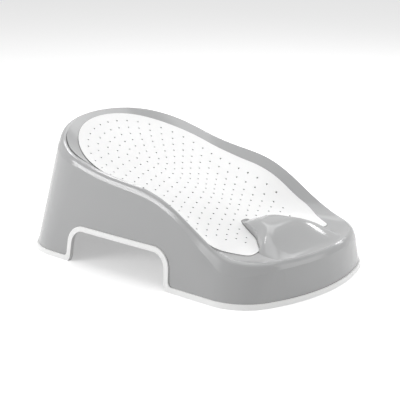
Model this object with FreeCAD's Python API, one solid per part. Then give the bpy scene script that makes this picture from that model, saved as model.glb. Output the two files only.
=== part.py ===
import FreeCAD, Part
import math
import os
from FreeCAD import Vector

os.makedirs("parts", exist_ok=True)
doc = FreeCAD.newDocument("BathSeat")

# Driving dimensions in millimetres.
# The origin is under the middle of the seat, X runs from the head end to the foot end.
DIMENSIONS = [
    ("half_length", 283.5),
    ("base_half_width", 170.0),
    ("base_head_corner", 84.0),
    ("base_foot_corner", 80.0),
    ("head_sweep", 30.0),
    ("foot_sweep", 24.5),
    ("blank_height", 260.0),
    ("side_inset", 18.0),
    ("side_turn", 17.0),
    ("head_inset", 57.0),
    ("foot_inset", 16.0),
    ("top_head_corner", 130.0),
    ("top_foot_corner", 104.0),
    ("shoulder_radius", 10.0),
    ("shoulder_turn", 70.0),
    ("hollow_drop", 8.0),
    ("crest_half_width", 147.5),
    ("crest_foot_inset", 9.5),
    ("crest_foot_corner", 80.0),
    ("wall", 3.0),
    ("head_crest", 218.0),
    ("neck_crest", 183.5),
    ("chest_crest", 164.5),
    ("waist_crest", 154.5),
    ("hip_crest", 150.2),
    ("thigh_crest", 134.0),
    ("knee_crest", 109.0),
    ("calf_crest", 81.0),
    ("ankle_crest", 71.5),
    ("foot_crest", 67.5),
    ("head_seat", 208.0),
    ("neck_seat", 177.0),
    ("back_seat", 137.4),
    ("waist_seat", 111.5),
    ("hip_seat", 94.0),
    ("notch_seat", 79.0),
    ("leg_seat", 67.5),
    ("foot_deck", 63.5),
    ("head_flat", 92.0),
    ("hip_flat", 66.0),
    ("leg_flat", 104.0),
    ("foot_flat", 118.0),
    ("dish_power", 2.3),
    ("lumbar_rise", 6.0),
    ("lumbar_length", 70.0),
    ("head_centre", 84.5),
    ("mat_half_width", 133.0),
    ("mat_recess", 1.6),
    ("mat_thickness", 2.8),
    ("mat_clearance", 0.3),
    ("leg_tip", 207.0),
    ("leg_inner", 40.0),
    ("notch_end", 109.0),
    ("mound_start", 82.5),
    ("mound_brow", 90.5),
    ("mound_top", 96.5),
    ("mound_back", 89.0),
    ("mound_slope", 76.0),
    ("mound_foot", 66.5),
    ("mound_squareness", 4.5),
    ("hole_diameter", 3.3),
    ("row_spacing", 16.7),
    ("row_count", 7),
    ("hole_pitch", 17.2),
    ("pitch_growth", 0.53),
    ("centre_row_start", 3.8),
    ("hole_margin", 9.0),
    ("drain_row_step", 3),
    ("arch_top", 57.5),
    ("arch_head_end", 126.0),
    ("arch_foot_end", 87.0),
    ("arch_lean", 6.0),
    ("arch_corner", 26.0),
    ("trim_width", 8.5),
    ("trim_proud", 2.5),
    ("trim_lip", 2.0),
    ("trim_floor", 1.5),
    ("trim_flare", 8.0),
    ("trim_clearance", 0.1),
]
sheet = doc.addObject("Spreadsheet::Sheet", "Dimensions")
for row, (name, value) in enumerate(DIMENSIONS, start=1):
    sheet.set("A%d" % row, name)
    sheet.set("B%d" % row, str(value))
    sheet.setAlias("B%d" % row, name)
doc.recompute()


def size(name):
    return float(getattr(sheet, name))


# Heights along the seat: places are shares of the half length.
HALF = size("half_length")
CREST_LINE = [
    (-1.05, size("head_crest") + 4.0),
    (-0.83, size("head_crest")),
    (-0.52, size("neck_crest")),
    (-0.27, size("chest_crest")),
    (-0.02, size("waist_crest")),
    (0.12, size("hip_crest")),
    (0.29, size("thigh_crest")),
    (0.445, size("knee_crest")),
    (0.61, size("calf_crest")),
    (0.72, size("ankle_crest")),
    (0.97, size("foot_crest")),
]
SEAT_LINE = [
    (-0.80, size("head_seat")),
    (-0.565, size("neck_seat")),
    (-0.25, size("back_seat")),
    (0.01, size("waist_seat")),
    (0.22, size("hip_seat")),
    (0.40, size("notch_seat")),
    (0.70, size("leg_seat")),
    (0.95, size("foot_deck")),
]
FLAT_LINE = [
    (-0.80, size("head_flat")),
    (0.0, size("hip_flat")),
    (0.22, size("hip_flat")),
    (0.45, size("leg_flat")),
    (0.80, size("foot_flat")),
    (1.0, size("foot_flat")),
]


def smooth(line, x):
    """Value at x on a smooth curve through the stations of a line."""
    s = x / HALF
    n = len(line)
    if s >= line[-1][0]:
        return line[-1][1]
    if s <= line[0][0]:
        (s0, v0), (s1, v1) = line[0], line[1]
        return v0 + (v1 - v0) / (s1 - s0) * (s - s0)
    k = max(i for i in range(n - 1) if line[i][0] <= s)
    s0, v0 = line[k]
    s1, v1 = line[k + 1]
    chord = (v1 - v0) / (s1 - s0)
    before = (v0 - line[k - 1][1]) / (s0 - line[k - 1][0]) if k > 0 else chord
    after = (line[k + 2][1] - v1) / (line[k + 2][0] - s1) if k < n - 2 else 0.0
    m0 = (before + chord) / 2
    m1 = (chord + after) / 2
    step = s1 - s0
    t = (s - s0) / step
    hold0 = v0 * (1 + 2 * t) * (1 - t) ** 2 + m0 * step * t * (1 - t) ** 2
    hold1 = v1 * t * t * (3 - 2 * t) + m1 * step * t * t * (t - 1)
    return hold0 + hold1


class Plan:
    """Plan outline: sides, four corner arcs and two end bows, each tangent to the next."""

    def __init__(self, width, head_x, foot_x, head_corner, foot_corner, turn=0.0):
        head = math.radians(size("head_sweep"))
        foot = math.radians(size("foot_sweep"))
        side = math.radians(turn)
        self.turn = turn
        self.width = width
        self.head_r = head_corner
        self.foot_r = foot_corner
        self.head_bow = head_corner + (width - head_corner) / math.sin(head)
        self.head_mid = head_x + self.head_bow
        self.head_corner_x = self.head_mid - (self.head_bow - head_corner) * math.cos(head)
        self.head_corner_y = width - head_corner
        ease = math.tan(foot / 2)
        if turn > 0:
            run = foot_x - foot_corner - ease * (width - foot_corner * math.cos(side))
            run = run - self.head_corner_x + foot_corner * math.sin(side)
            self.side_r = run / (math.sin(side) - ease * (1 - math.cos(side)))
            drop = self.side_r * (1 - math.cos(side))
            self.foot_corner_x = self.head_corner_x + (self.side_r - foot_corner) * math.sin(side)
        else:
            self.side_r = 0.0
            drop = 0.0
            self.foot_corner_x = foot_x - foot_corner - ease * (width - foot_corner)
        self.foot_corner_y = width - drop - foot_corner * math.cos(side)
        self.foot_bow = foot_corner + self.foot_corner_y / math.sin(foot)
        self.foot_mid = foot_x - self.foot_bow

    def stretches(self):
        """Arcs from the foot end to the head end: centre, radius, start and end angle."""
        head = 180 - size("head_sweep")
        foot = size("foot_sweep")
        return [
            (self.foot_mid, 0.0, self.foot_bow, 0.0, foot),
            (self.foot_corner_x, self.foot_corner_y, self.foot_r, foot, 90 - self.turn),
            (self.head_corner_x, self.head_corner_y, self.head_r, 90, head),
            (self.head_mid, 0.0, self.head_bow, head, 180),
        ]

    def wire(self, z):
        """The outline as lines and arcs at height z."""

        def on(cx, cy, radius, degrees):
            a = math.radians(degrees)
            return Vector(cx + radius * math.cos(a), cy + radius * math.sin(a), z)

        def arc(cx, cy, radius, start, end):
            middle = on(cx, cy, radius, (start + end) / 2)
            return Part.Arc(on(cx, cy, radius, start), middle, on(cx, cy, radius, end)).toShape()

        foot_end, foot_corner, head_corner, head_end = self.stretches()
        start = on(*foot_corner[:3], foot_corner[4])
        end = Vector(self.head_corner_x, self.width, z)
        if self.turn > 0:
            middle = on(self.head_corner_x, self.width - self.side_r, self.side_r, 90 - self.turn / 2)
            side = Part.Arc(start, middle, end).toShape()
        else:
            side = Part.LineSegment(start, end).toShape()
        half = [arc(*foot_corner), side, arc(*head_corner)]
        flip = [edge.mirror(Vector(0, 0, z), Vector(0, 1, 0)) for edge in half]
        foot = arc(*foot_end[:3], -foot_end[4], foot_end[4])
        head = arc(*head_end[:3], head_end[3], 360 - head_end[3])
        return Part.Wire([foot] + half + [head] + list(reversed(flip)))

    def half(self):
        """Places spread evenly along each stretch, from the foot end to the head end."""
        places = []
        for index, (cx, cy, radius, start, end) in enumerate(self.stretches()):
            count = 4
            for i in range(count + 1):
                a = math.radians(start + (end - start) * i / count)
                places.append((cx + radius * math.cos(a), cy + radius * math.sin(a)))
            if index == 1:
                x0, y0 = places[-1]
                for i in range(1, 9):
                    if self.turn > 0:
                        a = math.radians(90 - self.turn * (1 - i / 9))
                        x = self.head_corner_x + self.side_r * math.cos(a)
                        y = self.width - self.side_r * (1 - math.sin(a))
                    else:
                        x = x0 + (self.head_corner_x - x0) * i / 9
                        y = y0
                    places.append((x, y))
        kept = [places[0]]
        for place in places[1:]:
            if math.dist(place, kept[-1]) > 0.01:
                kept.append(place)
        return kept

    def reach(self, x, y):
        """Distance of a place inside an outline with straight sides, below zero outside."""
        y = abs(y)
        if x > self.foot_mid and y < (x - self.foot_mid) * math.tan(math.radians(size("foot_sweep"))):
            return self.foot_bow - math.hypot(x - self.foot_mid, y)
        if x > self.foot_corner_x and y > self.foot_corner_y:
            return self.foot_r - math.hypot(x - self.foot_corner_x, y - self.foot_corner_y)
        return self.width - y


def base_plan(grow):
    width = size("base_half_width") + grow
    head = size("base_head_corner") + grow
    foot = size("base_foot_corner") + grow
    return Plan(width, -HALF - grow, HALF + grow, head, foot)


def top_plan(grow):
    width = size("base_half_width") - size("side_inset") + grow
    head_x = -HALF + size("head_inset") - grow
    foot_x = HALF - size("foot_inset") + grow
    head = size("top_head_corner") + grow
    return Plan(width, head_x, foot_x, head, size("top_foot_corner") + grow, size("side_turn"))


def crest_plan():
    width = size("crest_half_width")
    foot_x = HALF - size("crest_foot_inset")
    return Plan(width, -HALF, foot_x, width / 2, size("crest_foot_corner"))


def wall_places(z, grow):
    """Places on the drafted walls at height z, from the foot end to the head end."""
    share = z / size("blank_height")
    pairs = zip(base_plan(grow).half(), top_plan(grow).half())
    return [(xa + (xb - xa) * share, ya + (yb - ya) * share) for (xa, ya), (xb, yb) in pairs]


def walls(grow):
    """Tall drafted block inside the walls, larger than the casing by grow."""
    low = base_plan(grow)
    return Part.makeLoft([low.wire(0), top_plan(grow).wire(size("blank_height"))], True, True)


def loop(points):
    """Closed smooth wire through a half outline and its mirror image."""
    mirrored = [(x, -y, z) for x, y, z in reversed(points[1:-1])]
    ring = [Vector(*p) for p in list(points) + mirrored]
    curve = Part.BSplineCurve()
    curve.interpolate(Points=ring, PeriodicFlag=True, Parameters=[float(i) for i in range(len(ring) + 1)])
    return Part.Wire([curve.toShape()])


def roll_loop(out, down, level=None):
    """Loop that follows the crest, set outward and down from it."""
    radius = size("shoulder_radius")
    low = wall_places(size("foot_crest"), out - radius)
    high = wall_places(size("head_crest"), out - radius)
    points = []
    for (xl, yl), (xh, yh) in zip(low, high):
        z = size("waist_crest")
        for turn in range(6):
            share = (z - size("foot_crest")) / (size("head_crest") - size("foot_crest"))
            x = xl + (xh - xl) * share
            z = smooth(CREST_LINE, x)
        points.append((x, yl + (yh - yl) * share, z - down if level is None else level))
    return loop(points)


def rolled_top():
    """Block with the rolled shoulder of the rim on its upper edge."""
    radius = size("shoulder_radius")
    turn = size("shoulder_turn")
    tail = 24.0
    last = math.radians(turn)
    out = radius * math.sin(last) + tail * math.cos(last)
    down = radius * (1 - math.cos(last)) + tail * math.sin(last)
    skirt = [(x, y, -30.0) for x, y in base_plan(tail).half()]
    wires = [loop(skirt), roll_loop(out, down)]
    for share in (1.0, 0.8, 0.6, 0.4, 0.2, 0.0):
        a = math.radians(turn * share)
        wires.append(roll_loop(radius * math.sin(a), radius * (1 - math.cos(a))))
    wires.append(roll_loop(-2.0, 0.2))
    wires.append(roll_loop(-2.0, 0, size("blank_height") - 5))
    return Part.makeLoft(wires, True, True)


def under_crest(lower):
    """Everything below the line of the crest as seen from the side."""
    reach = size("base_half_width") + 30
    far = HALF + 30
    places = [-far + 2 * far * i / 16 for i in range(17)]
    line = Part.BSplineCurve()
    line.interpolate([Vector(x, -reach, smooth(CREST_LINE, x) - lower) for x in places])
    low = Vector(0, 0, -20)
    start = line.StartPoint
    end = line.EndPoint
    down = Vector(start.x, start.y, low.z)
    back = Vector(end.x, end.y, low.z)
    edges = [
        line.toShape(),
        Part.LineSegment(end, back).toShape(),
        Part.LineSegment(back, down).toShape(),
        Part.LineSegment(down, start).toShape(),
    ]
    return Part.Face(Part.Wire(edges)).extrude(Vector(0, 2 * reach, 0))


CREST_OUTLINE = crest_plan()


def seat_height(x, y):
    """Height of the seat surface, running on upward outside the crest."""
    outline = CREST_OUTLINE
    rim = size("crest_half_width")
    if x < -size("head_centre"):
        r = math.hypot(x + size("head_centre"), y)
    else:
        r = rim - outline.reach(x, y)
    flat = smooth(FLAT_LINE, x)
    floor = smooth(SEAT_LINE, x)
    crest = smooth(CREST_LINE, x)
    t = max((r - flat) / (rim - flat), 0.0)
    rise = t ** size("dish_power") if t < 1 else 1 + size("dish_power") * (t - 1)
    span = size("lumbar_length")
    lumbar = size("lumbar_rise") * math.exp(-((x - 12.0) / span) ** 2 - (y / 30.0) ** 2)
    return floor + (crest - floor) * rise + lumbar


SIDE = size("base_half_width") + 15
GRID_X = [-HALF - 20 + (2 * HALF + 40) * i / 26 for i in range(27)]
GRID_Y = [SIDE * (j / 10) ** 0.9 for j in range(11)]
GRID_Y = [-y for y in reversed(GRID_Y[1:])] + GRID_Y
surface = Part.BSplineSurface()
surface.interpolate([[Vector(x, y, seat_height(x, y)) for y in GRID_Y] for x in GRID_X])
seat_face = surface.toShape()


def over_panel(shift):
    """Solid over a plain ruled copy of the seat surface, for the hidden faces under the mat."""
    places = [-HALF - 18 + 46.0 * i for i in range(8)]
    places = places + [52.0, 80.0, 106.0, 128.0, 150.0, 172.0, 196.0, 224.0, 256.0, HALF + 18]
    sections = []
    for x in places:
        line = Part.BSplineCurve()
        line.interpolate([Vector(x, y, seat_height(x, y) + shift) for y in GRID_Y])
        left = Vector(x, GRID_Y[0], 500)
        right = Vector(x, GRID_Y[-1], 500)
        edges = [
            line.toShape(),
            Part.LineSegment(line.EndPoint, right).toShape(),
            Part.LineSegment(right, left).toShape(),
            Part.LineSegment(left, line.StartPoint).toShape(),
        ]
        sections.append(Part.Wire(edges))
    return Part.makeLoft(sections, True, True)


def mound(lower):
    """Block whose top is the mound between the legs, made lower and narrower by lower."""
    notch = size("notch_end") / HALF
    tip = size("leg_tip") / HALF
    inner = size("leg_inner")
    top_line = [
        (notch - 0.02, size("mound_start")),
        (notch + 0.03, size("mound_start")),
        (notch + 0.10, size("mound_brow")),
        (notch + 0.17, size("mound_top")),
        (notch + 0.23, size("mound_top")),
        (tip - 0.05, size("mound_top") - 2),
        (tip, size("mound_back")),
        (tip + 0.09, size("mound_slope")),
        (tip + 0.18, size("mound_foot")),
        (1.0, size("mound_foot")),
    ]
    width_line = [
        (notch - 0.02, 0.32 * inner),
        (notch + 0.03, 0.52 * inner),
        (notch + 0.15, 0.96 * inner),
        (tip - 0.14, 1.20 * inner),
        (tip - 0.07, 1.60 * inner),
        (tip, 2.08 * inner),
        (tip + 0.07, 2.20 * inner),
        (1.0, 2.25 * inner),
    ]
    grid = []
    for k in range(17):
        x = size("notch_end") - 2 + (HALF + 14 - size("notch_end")) * k / 16
        low = smooth(SEAT_LINE, x) - 1.5 - lower
        rise = max(smooth(top_line, x) - lower - low, 1.0)
        half_width = smooth(width_line, x) - lower
        row = []
        for i in range(-9, 10):
            q = math.sin(math.pi * i / 18)
            z = low + rise * (1 - abs(q) ** size("mound_squareness"))
            row.append(Vector(x, half_width * q, z))
        grid.append(row)
    surface = Part.BSplineSurface()
    surface.interpolate(grid)
    return surface.toShape().extrude(Vector(0, 0, -40))


def above_seat(shift):
    """Solid of everything over the seat surface, moved up by a shift."""
    block = seat_face.extrude(Vector(0, 0, 400))
    block.translate(Vector(0, 0, shift))
    return block


def rounded(points, radii, place):
    """Closed face with arcs of the given radii at the corners of a polygon."""
    count = len(points)
    edges = []
    last = None
    first = None
    for i in range(count):
        p = Vector(points[i][0], points[i][1], 0)
        a = Vector(points[i - 1][0], points[i - 1][1], 0) - p
        b = Vector(points[(i + 1) % count][0], points[(i + 1) % count][1], 0) - p
        if radii[i] > 0:
            a.normalize()
            b.normalize()
            half = a.getAngle(b) / 2
            cut = radii[i] / math.tan(half)
            start = p + a * cut
            end = p + b * cut
            mid_way = (a + b).normalize()
            middle = p + mid_way * (radii[i] / math.sin(half) - radii[i])
            arc = Part.Arc(place(start), place(middle), place(end)).toShape()
        else:
            start = p
            end = p
            arc = None
        if last is None:
            first = start
        elif last.distanceToPoint(start) > 0.001:
            edges.append(Part.LineSegment(place(last), place(start)).toShape())
        if arc is not None:
            edges.append(arc)
        last = end
    if last.distanceToPoint(first) > 0.001:
        edges.append(Part.LineSegment(place(last), place(first)).toShape())
    return Part.Face(Part.Wire(Part.sortEdges(edges)[0]))


def across(points, radii):
    """Prism that runs right across the seat from an outline seen from the side."""
    reach = size("base_half_width") + 30
    face = rounded(points, radii, lambda p: Vector(p.x, -reach, p.y))
    return face.extrude(Vector(0, 2 * reach, 0))


def arch_opening(grow):
    """The arch cut through both side walls, made larger by grow."""
    head = -size("arch_head_end") - grow
    foot = size("arch_foot_end") + grow
    top = size("arch_top") + grow
    lean = size("arch_lean")
    flare = size("trim_flare")
    radius = size("arch_corner") + grow
    points = [
        (head - flare, -5.0),
        (head, flare),
        (head + lean, top),
        (foot - lean, top),
        (foot, flare),
        (foot + flare, -5.0),
    ]
    return across(points, [0, flare, radius, radius, flare, 0])


def trim_zone():
    """Side view of the trim: a band along the floor that climbs over the arch."""
    width = size("trim_width")
    head = -size("arch_head_end") - width
    foot = size("arch_foot_end") + width
    top = size("arch_top") + width
    lean = size("arch_lean")
    far = HALF + 30
    radius = size("arch_corner") + width
    flare = size("trim_flare")
    points = [
        (-far, 0.0),
        (-far, width),
        (head, width),
        (head + lean, top),
        (foot - lean, top),
        (foot, width),
        (far, width),
        (far, 0.0),
    ]
    return across(points, [0, 0, flare, radius, radius, flare, 0, 0])


def mat_plan(grow):
    """Plan of the seat mat: round head, straight sides and two rounded legs."""
    w = size("mat_half_width") + grow
    tip = size("leg_tip") + grow
    cx = -size("head_centre")
    inner = size("leg_inner") - grow
    notch = size("notch_end") + grow
    bulge = w * math.tan(math.radians(22.5))
    side = [
        (148.0, w),
        (tip, 104.0),
        (tip - 3.0, 76.0 - grow),
        (168.0, inner),
        (notch, 8.0),
    ]
    side_radii = [60.0, 14.0, 26.0, 70.0, 10.0]
    points = [(cx - w, -bulge), (cx - w, bulge), (cx - bulge, w)]
    radii = [w, w, w]
    points = points + side + [(x, -y) for x, y in reversed(side)] + [(cx - bulge, -w)]
    radii = radii + side_radii + list(reversed(side_radii)) + [w]
    return rounded(points, radii, lambda p: Vector(p.x, p.y, 0))


def mat_outline(grow):
    return mat_plan(grow).extrude(Vector(0, 0, 400))


def hole_rows():
    """Rows of hole centres, ring by ring round the head and straight on toward the foot."""
    edge = mat_plan(0.0)
    centre = -size("head_centre")
    rows = []
    for k in range(int(size("row_count")) + 1):
        pitch = size("hole_pitch") + size("pitch_growth") * k
        radius = size("row_spacing") * k
        places = []
        along = pitch / 2 if k % 2 == 0 else 0.0
        if k == 0:
            along = size("centre_row_start")
        while centre + along < HALF:
            turn = math.pi / 2 * radius
            if along < turn:
                a = along / radius
                x = centre - radius * math.cos(a)
                y = radius * math.sin(a)
            else:
                x = centre + along - turn
                y = radius
            places.append((x, y))
            if y > 0.01:
                places.append((x, -y))
            along += pitch
        kept = []
        for x, y in places:
            spot = Vector(x, y, 0)
            inside = edge.isInside(spot, 0.01, True)
            if inside and edge.OuterWire.distToShape(Part.Vertex(spot))[0] > size("hole_margin"):
                kept.append((x, y))
        rows.append(kept)
    return rows


def hole_cutter(places):
    """Upright eight-sided cutters at the given places."""
    radius = size("hole_diameter") / 2
    cutters = []
    for x, y in places:
        low = seat_height(x, y) - 25
        ring = []
        for i in range(9):
            a = math.radians(45 * i + 22.5)
            ring.append(Vector(x + radius * math.cos(a), y + radius * math.sin(a), low))
        cutters.append(Part.Face(Part.makePolygon(ring)).extrude(Vector(0, 0, 50)))
    return Part.makeCompound(cutters)


def publish(name, shape, note):
    """Add a finished solid to the document under its own name."""
    solids = shape.Solids
    if len(solids) != 1:
        raise RuntimeError("%s came out as %d solids" % (name, len(solids)))
    item = doc.addObject("Part::Feature", name)
    item.Label = name
    item.addProperty("App::PropertyString", "Note")
    item.Note = note
    item.Shape = solids[0]
    item.Placement = FreeCAD.Placement(Vector(0, 0, 0), FreeCAD.Rotation())
    return item


# Seat mat: a soft pierced sheet that lies in the recess of the seat panel.
recess = size("mat_recess")
rows = hole_rows()
mat = mat_outline(0.0).common(over_panel(-recess))
mat = mat.cut(above_seat(size("mat_thickness") - recess))
mat = mat.cut(hole_cutter([place for line in rows for place in line]))

# Casing: walls, rolled rim, seat panel and mound, open underneath.
wall = size("wall")
blank = walls(0.0).common(rolled_top())
keep_out = mat_outline(size("mat_clearance"))
outer = blank.cut(above_seat(0.0))
inner = walls(-wall).common(under_crest(size("hollow_drop")))
hollow = inner.cut(over_panel(-wall - recess))
loft = mound(wall).common(walls(-2.5 * wall))
hollow = hollow.fuse(loft.cut(mat_outline(size("mat_clearance") + wall)))
pocket = keep_out.common(over_panel(-recess))
casing = outer.cut(pocket).fuse(mound(0.0).common(blank).cut(keep_out)).cut(hollow)
casing = casing.cut(arch_opening(size("trim_floor")))
far = HALF + 60
foot_cut = Part.makeBox(2 * far, 2 * far, 60 + size("trim_floor"), Vector(-far, -far, -60))
casing = casing.cut(foot_cut)
drains = [place for k, line in enumerate(rows) if k % int(size("drain_row_step")) == 0 for place in line]
casing = casing.cut(hole_cutter(drains))

# Base trim: a soft edging with a groove for the edge of the walls.
proud = size("trim_proud")
lip = size("trim_lip")
gap = size("trim_clearance")
zone = trim_zone()
ring = walls(proud).common(zone).cut(arch_opening(0.0)).cut(walls(-wall - lip))
groove = walls(gap).common(zone).cut(arch_opening(size("trim_floor"))).cut(foot_cut).cut(walls(-wall - gap))
trim = ring.cut(groove)

publish("casing", casing, "moulded shell, open underneath")
publish("seat_mat", mat, "soft pierced mat")
publish("base_trim", trim, "soft edging of the walls and arches")
doc.recompute()
for name in ("casing", "seat_mat", "base_trim"):
    item = doc.getObject(name)
    faults = [state for state in item.State if state in ("Invalid", "Error")]
    if faults or item.Shape.isNull() or not item.Shape.isValid():
        raise RuntimeError("%s is not a sound solid" % name)
    item.Shape.exportStep("parts/%s.step" % name)
    print(name, round(item.Shape.Volume / 1000, 1), "cubic centimetres", item.Shape.BoundBox)
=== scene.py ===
"""Baby bath seat: finishes, floor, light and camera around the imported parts."""

import math

import bpy
from mathutils import Matrix, Vector

bl_info = {
    "name": "Baby Bath Seat",
    "version": (1, 0, 0),
    "blender": (4, 5, 0),
    "location": "3D View > Sidebar > Bath Seat",
    "description": "Dresses a reclined baby bath seat and sets up a plain studio",
    "category": "Object",
}

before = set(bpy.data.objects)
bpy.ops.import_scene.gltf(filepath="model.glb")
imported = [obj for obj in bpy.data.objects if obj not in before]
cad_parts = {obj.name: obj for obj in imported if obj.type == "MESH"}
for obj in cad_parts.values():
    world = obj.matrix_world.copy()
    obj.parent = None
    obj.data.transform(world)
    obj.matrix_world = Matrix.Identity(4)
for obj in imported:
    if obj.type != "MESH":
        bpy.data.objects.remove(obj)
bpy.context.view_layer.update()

# Places and sizes of the studio in metres
FLOOR_REACH = 6.0
LIGHTS_AIM = (0.0, 0.0, 0.1)
VIEW_MIDDLE = (0.0082, 0.0078, 0.0938)
VIEW_DEPTH = 50.0

# Width of the film in millimetres
FILM_WIDTH = 36.0

WHITE = (1.0, 1.0, 1.0, 1.0)
FLOOR_PAINT = (0.86, 0.86, 0.86, 1.0)


class CasingSettings(bpy.types.PropertyGroup):
    """Finish of the moulded casing"""

    color: bpy.props.FloatVectorProperty(
        name="Plastic colour",
        description="Grey of the moulded casing",
        subtype="COLOR",
        size=3,
        min=0.0,
        max=1.0,
        default=(0.42, 0.422, 0.425),
    )
    roughness: bpy.props.FloatProperty(
        name="Gloss",
        description="Roughness of the polished plastic",
        subtype="FACTOR",
        min=0.0,
        max=1.0,
        default=0.13,
    )
    ripple: bpy.props.FloatProperty(
        name="Mould ripple",
        description="Height of the faint waviness that moulding leaves on broad walls",
        unit="LENGTH",
        min=0.0,
        max=0.001,
        default=0.00006,
        precision=6,
    )


class MatSettings(bpy.types.PropertyGroup):
    """Finish of the soft seat mat"""

    color: bpy.props.FloatVectorProperty(
        name="Mat colour",
        description="White of the soft seat mat",
        subtype="COLOR",
        size=3,
        min=0.0,
        max=1.0,
        default=(0.93, 0.93, 0.93),
    )
    roughness: bpy.props.FloatProperty(
        name="Mat roughness",
        description="Roughness of the soft matt surface",
        subtype="FACTOR",
        min=0.0,
        max=1.0,
        default=0.62,
    )
    grain: bpy.props.FloatProperty(
        name="Grain size",
        description="Size of the fine grain on the mat",
        unit="LENGTH",
        min=0.0001,
        max=0.01,
        default=0.0012,
        precision=5,
    )


class EdgingSettings(bpy.types.PropertyGroup):
    """Finish of the edging on walls and arches"""

    color: bpy.props.FloatVectorProperty(
        name="Edging colour",
        description="White of the soft edging on the base",
        subtype="COLOR",
        size=3,
        min=0.0,
        max=1.0,
        default=(0.94, 0.94, 0.935),
    )
    roughness: bpy.props.FloatProperty(
        name="Edging roughness",
        description="Roughness of the satin edging",
        subtype="FACTOR",
        min=0.0,
        max=1.0,
        default=0.42,
    )


class StudioSettings(bpy.types.PropertyGroup):
    """Camera, lights and floor"""

    camera_azimuth: bpy.props.FloatProperty(
        name="Camera azimuth",
        description="Angle of the camera round the seat",
        subtype="ANGLE",
        unit="ROTATION",
        default=math.radians(40.9),
    )
    camera_height: bpy.props.FloatProperty(
        name="Camera elevation",
        description="Angle of the camera above the floor",
        subtype="ANGLE",
        unit="ROTATION",
        default=math.radians(16.6),
    )
    camera_distance: bpy.props.FloatProperty(
        name="Camera distance",
        description="Distance from the camera to the middle of the view",
        unit="LENGTH",
        min=0.1,
        default=2.1,
    )
    view_width: bpy.props.FloatProperty(
        name="View width",
        description="Width of the view at the middle of the seat",
        unit="LENGTH",
        min=0.1,
        default=0.679,
    )
    overhead_power: bpy.props.FloatProperty(
        name="Overhead light",
        description="Power of the broad soft light above the seat",
        subtype="POWER",
        min=0.0,
        default=14.0,
    )
    key_power: bpy.props.FloatProperty(
        name="Window light",
        description="Power of the square light that the mound mirrors",
        subtype="POWER",
        min=0.0,
        default=4.5,
    )
    rim_power: bpy.props.FloatProperty(
        name="Rim light",
        description="Power of the two small lights that draw the line along the rim",
        subtype="POWER",
        min=0.0,
        default=4.0,
    )
    side_power: bpy.props.FloatProperty(
        name="Side light",
        description="Power of the strip light beside the near wall",
        subtype="POWER",
        min=0.0,
        default=17.0,
    )
    foot_power: bpy.props.FloatProperty(
        name="Foot light",
        description="Power of the soft light beyond the foot end",
        subtype="POWER",
        min=0.0,
        default=11.0,
    )
    world_light: bpy.props.FloatProperty(
        name="Room light",
        description="Strength of the even light from all round",
        min=0.0,
        default=0.38,
    )
    floor_glow: bpy.props.FloatProperty(
        name="White of the floor",
        description="Share of plain white that the camera and reflections see on the floor",
        subtype="FACTOR",
        min=0.0,
        max=1.0,
        default=0.42,
    )


class SeatSettings(bpy.types.PropertyGroup):
    """All settings of the bath seat"""

    casing: bpy.props.PointerProperty(
        type=CasingSettings,
        name="Casing",
        description="Casing finish",
    )
    mat: bpy.props.PointerProperty(
        type=MatSettings,
        name="Mat",
        description="Seat mat finish",
    )
    edging: bpy.props.PointerProperty(
        type=EdgingSettings,
        name="Edging",
        description="Edging finish",
    )
    studio: bpy.props.PointerProperty(
        type=StudioSettings,
        name="Studio",
        description="Light and camera",
    )


def new_material(name):
    """Fresh node material, its nodes and links, and its one shader."""
    material = bpy.data.materials.new(name)
    material.use_nodes = True
    nodes = material.node_tree.nodes
    return material, nodes, material.node_tree.links, nodes["Principled BSDF"]


def noise(nodes, links, scale, detail):
    """Socket of a noise that is fixed to the part, with its scale per metre."""
    place = nodes.new("ShaderNodeTexCoord")
    cloud = nodes.new("ShaderNodeTexNoise")
    cloud.inputs["Scale"].default_value = scale
    cloud.inputs["Detail"].default_value = detail
    links.new(place.outputs["Object"], cloud.inputs["Vector"])
    return cloud.outputs["Fac"]


def mottle(nodes, links, height, color, low_share):
    """Socket of a colour that falls to a share of itself where a noise is low."""
    ramp = nodes.new("ShaderNodeValToRGB")
    ramp.color_ramp.elements[0].color = (*[low_share * c for c in color], 1.0)
    ramp.color_ramp.elements[1].color = (*color, 1.0)
    links.new(height, ramp.inputs["Fac"])
    return ramp.outputs["Color"]


def raise_surface(nodes, links, height, shader, strength, distance):
    """Make a surface look raised by a noise, up to a distance in metres."""
    bump = nodes.new("ShaderNodeBump")
    bump.inputs["Strength"].default_value = strength
    bump.inputs["Distance"].default_value = distance
    links.new(height, bump.inputs["Height"])
    links.new(bump.outputs["Normal"], shader.inputs["Normal"])


def paint_shade_in_hollows(nodes, links, color, shader, reach, depth):
    """Paint shade into a colour: darken it, down to the depth as a share of it, where other
    faces stand closer than the reach, as in holes and gaps."""
    hollow = nodes.new("ShaderNodeAmbientOcclusion")
    hollow.samples = 8
    hollow.inputs["Distance"].default_value = reach
    fade = nodes.new("ShaderNodeMapRange")
    fade.inputs["From Min"].default_value = 0.25
    fade.inputs["From Max"].default_value = 0.75
    fade.inputs["To Min"].default_value = depth
    fade.inputs["To Max"].default_value = 1.0
    links.new(hollow.outputs["AO"], fade.inputs["Value"])
    dim = nodes.new("ShaderNodeVectorMath")
    dim.operation = "SCALE"
    links.new(color, dim.inputs[0])
    links.new(fade.outputs["Result"], dim.inputs["Scale"])
    links.new(dim.outputs["Vector"], shader.inputs["Base Color"])


def dress(node, material):
    """Give a carried-over part its finish."""
    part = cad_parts[node]
    part.data.materials.clear()
    part.data.materials.append(material)


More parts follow.
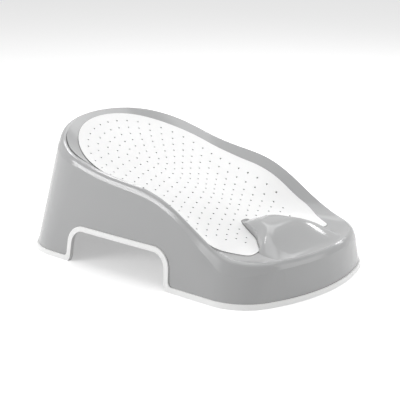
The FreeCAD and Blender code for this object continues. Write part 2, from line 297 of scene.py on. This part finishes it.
class SEAT_OT_casing(bpy.types.Operator):
    """Give the moulded casing its polished grey plastic"""

    bl_idname = "seat.casing"
    bl_label = "Finish Casing"

    def execute(self, context):
        look = context.scene.bath_seat.casing
        material, nodes, links, shader = new_material("polished_grey_plastic")
        waves = noise(nodes, links, scale=14.0, detail=1.0)
        color = mottle(nodes, links, waves, look.color, low_share=0.985)
        # Painted shade: the grey darkens in holes and gaps, such as under the mat's holes
        paint_shade_in_hollows(nodes, links, color, shader, reach=0.005, depth=0.04)
        raise_surface(nodes, links, waves, shader, strength=1.0, distance=look.ripple)
        shader.inputs["Roughness"].default_value = look.roughness
        shader.inputs["IOR"].default_value = 1.49
        dress("casing", material)
        return {"FINISHED"}


class SEAT_OT_mat(bpy.types.Operator):
    """Give the pierced seat mat its soft matt white"""

    bl_idname = "seat.mat"
    bl_label = "Finish Seat Mat"

    def execute(self, context):
        look = context.scene.bath_seat.mat
        material, nodes, links, shader = new_material("soft_white_mat")
        grain = noise(nodes, links, scale=1.0 / look.grain, detail=2.0)
        raise_surface(nodes, links, grain, shader, strength=0.25, distance=0.00008)
        clouds = noise(nodes, links, scale=25.0, detail=2.0)
        color = mottle(nodes, links, clouds, look.color, low_share=0.985)
        # Painted shade: the white darkens inside its holes and gaps
        paint_shade_in_hollows(nodes, links, color, shader, reach=0.004, depth=0.05)
        shader.inputs["Roughness"].default_value = look.roughness
        shader.inputs["IOR"].default_value = 1.45
        dress("seat_mat", material)
        return {"FINISHED"}


class SEAT_OT_edging(bpy.types.Operator):
    """Give the edging of the walls and arches its satin white"""

    bl_idname = "seat.edging"
    bl_label = "Finish Edging"

    def execute(self, context):
        look = context.scene.bath_seat.edging
        material, nodes, links, shader = new_material("satin_white_edging")
        clouds = noise(nodes, links, scale=60.0, detail=2.0)
        color = mottle(nodes, links, clouds, look.color, low_share=0.98)
        links.new(color, shader.inputs["Base Color"])
        raise_surface(nodes, links, clouds, shader, strength=0.2, distance=0.00006)
        shader.inputs["Roughness"].default_value = look.roughness
        shader.inputs["IOR"].default_value = 1.47
        dress("base_trim", material)
        return {"FINISHED"}


def seen_directly(nodes, links):
    """Socket that is 1 for rays from the camera, a reflection or a view through, else 0."""
    path = nodes.new("ShaderNodeLightPath")
    first = nodes.new("ShaderNodeMath")
    first.operation = "MAXIMUM"
    links.new(path.outputs["Is Camera Ray"], first.inputs[0])
    links.new(path.outputs["Is Glossy Ray"], first.inputs[1])
    both = nodes.new("ShaderNodeMath")
    both.operation = "MAXIMUM"
    links.new(first.outputs[0], both.inputs[0])
    links.new(path.outputs["Is Transmission Ray"], both.inputs[1])
    return both.outputs[0]


def lay_floor(context, floor_glow):
    """White floor that keeps the seat's shadow."""
    mesh = bpy.data.meshes.new("floor")
    r = FLOOR_REACH
    mesh.from_pydata([(-r, -r, 0), (r, -r, 0), (r, r, 0), (-r, r, 0)], [], [(0, 1, 2, 3)])
    floor = bpy.data.objects.new("floor", mesh)
    context.collection.objects.link(floor)
    material, nodes, links, shader = new_material("white_floor")
    shader.inputs["Base Color"].default_value = FLOOR_PAINT
    shader.inputs["Roughness"].default_value = 0.9
    shader.inputs["Specular IOR Level"].default_value = 0.0
    shader.inputs["Emission Color"].default_value = WHITE
    glow = nodes.new("ShaderNodeMath")
    glow.operation = "MULTIPLY"
    glow.inputs[1].default_value = floor_glow
    links.new(seen_directly(nodes, links), glow.inputs[0])
    links.new(glow.outputs[0], shader.inputs["Emission Strength"])
    mesh.materials.append(material)


def light_room(scene, strength):
    """World that lights the seat evenly and looks plain white."""
    world = bpy.data.worlds.new("studio")
    scene.world = world
    world.use_nodes = True
    nodes = world.node_tree.nodes
    links = world.node_tree.links
    light = nodes["Background"]
    light.inputs["Color"].default_value = WHITE
    light.inputs["Strength"].default_value = strength
    seen = nodes.new("ShaderNodeBackground")
    seen.inputs["Color"].default_value = WHITE
    seen.inputs["Strength"].default_value = 1.0
    mix = nodes.new("ShaderNodeMixShader")
    links.new(seen_directly(nodes, links), mix.inputs["Fac"])
    links.new(light.outputs["Background"], mix.inputs[1])
    links.new(seen.outputs["Background"], mix.inputs[2])
    links.new(mix.outputs["Shader"], nodes["World Output"].inputs["Surface"])


def soft_light(name, turn, rise, distance, width, height, power):
    """Rectangular soft light at a turn and a rise in degrees, aimed at the seat."""
    lamp = bpy.data.lights.new(name, "AREA")
    lamp.shape = "RECTANGLE"
    lamp.size = width
    lamp.size_y = height
    lamp.energy = power
    holder = bpy.data.objects.new(name, lamp)
    flat = math.cos(math.radians(rise))
    away = Vector((
        flat * math.cos(math.radians(turn)),
        flat * math.sin(math.radians(turn)),
        math.sin(math.radians(rise)),
    ))
    holder.location = away * distance + Vector(LIGHTS_AIM)
    holder.rotation_euler = (-away).to_track_quat("-Z", "Y").to_euler()
    bpy.context.collection.objects.link(holder)


def place_camera(context, look):
    """Camera on its azimuth and elevation, turned to the middle of the view."""
    turn = look.camera_azimuth
    rise = look.camera_height
    flat = math.cos(rise)
    tilt = math.sin(rise)
    back = Vector((math.sin(turn) * flat, -math.cos(turn) * flat, tilt))
    up = Vector((-math.sin(turn) * tilt, math.cos(turn) * tilt, flat))
    right = up.cross(back)
    lens = bpy.data.cameras.new("view")
    lens.sensor_width = FILM_WIDTH
    lens.lens = FILM_WIDTH * look.camera_distance / look.view_width
    lens.clip_end = VIEW_DEPTH
    camera = bpy.data.objects.new("view", lens)
    place = Matrix.Translation(Vector(VIEW_MIDDLE) + back * look.camera_distance)
    camera.matrix_world = place @ Matrix((right, up, back)).transposed().to_4x4()
    context.collection.objects.link(camera)
    context.scene.camera = camera


class SEAT_OT_studio(bpy.types.Operator):
    """Set the seat on a white floor with soft light and the camera"""

    bl_idname = "seat.studio"
    bl_label = "Set Up Studio"

    def execute(self, context):
        look = context.scene.bath_seat.studio
        context.scene.view_settings.view_transform = "Standard"
        lay_floor(context, look.floor_glow)
        light_room(context.scene, look.world_light)
        soft_light(
            "overhead", turn=90.0, rise=88.0, distance=2.0,
            width=1.6, height=1.6, power=look.overhead_power,
        )
        soft_light(
            "window", turn=122.0, rise=47.0, distance=2.0,
            width=1.0, height=0.85, power=look.key_power,
        )
        soft_light(
            "rim_foot", turn=88.0, rise=28.0, distance=2.0,
            width=0.5, height=0.2, power=look.rim_power,
        )
        soft_light(
            "rim_side", turn=168.0, rise=56.0, distance=2.0,
            width=0.5, height=0.3, power=look.rim_power,
        )
        soft_light(
            "side_strip", turn=-120.0, rise=21.0, distance=2.2,
            width=1.15, height=0.5, power=look.side_power,
        )
        soft_light(
            "beyond_foot", turn=24.0, rise=20.0, distance=2.2,
            width=1.6, height=1.1, power=look.foot_power,
        )
        place_camera(context, look)
        return {"FINISHED"}


class SEAT_PT_panel(bpy.types.Panel):
    """Settings and steps of the bath seat"""

    bl_idname = "SEAT_PT_panel"
    bl_label = "Bath Seat"
    bl_space_type = "VIEW_3D"
    bl_region_type = "UI"
    bl_category = "Bath Seat"

    def draw(self, context):
        settings = context.scene.bath_seat
        for group, step in (
            (settings.casing, "seat.casing"),
            (settings.mat, "seat.mat"),
            (settings.edging, "seat.edging"),
            (settings.studio, "seat.studio"),
        ):
            box = self.layout.box()
            for name in group.__annotations__:
                box.prop(group, name)
            box.operator(step)


CLASSES = (
    CasingSettings,
    MatSettings,
    EdgingSettings,
    StudioSettings,
    SeatSettings,
    SEAT_OT_casing,
    SEAT_OT_mat,
    SEAT_OT_edging,
    SEAT_OT_studio,
    SEAT_PT_panel,
)


def register():
    """Add the classes and the scene's settings."""
    for cls in CLASSES:
        bpy.utils.register_class(cls)
    bpy.types.Scene.bath_seat = bpy.props.PointerProperty(type=SeatSettings)


def unregister():
    """Take the settings and the classes away again."""
    del bpy.types.Scene.bath_seat
    for cls in reversed(CLASSES):
        bpy.utils.unregister_class(cls)


def main():
    """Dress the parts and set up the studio."""
    register()
    bpy.ops.seat.casing()
    bpy.ops.seat.mat()
    bpy.ops.seat.edging()
    bpy.ops.seat.studio()


if __name__ == "__main__":
    main()
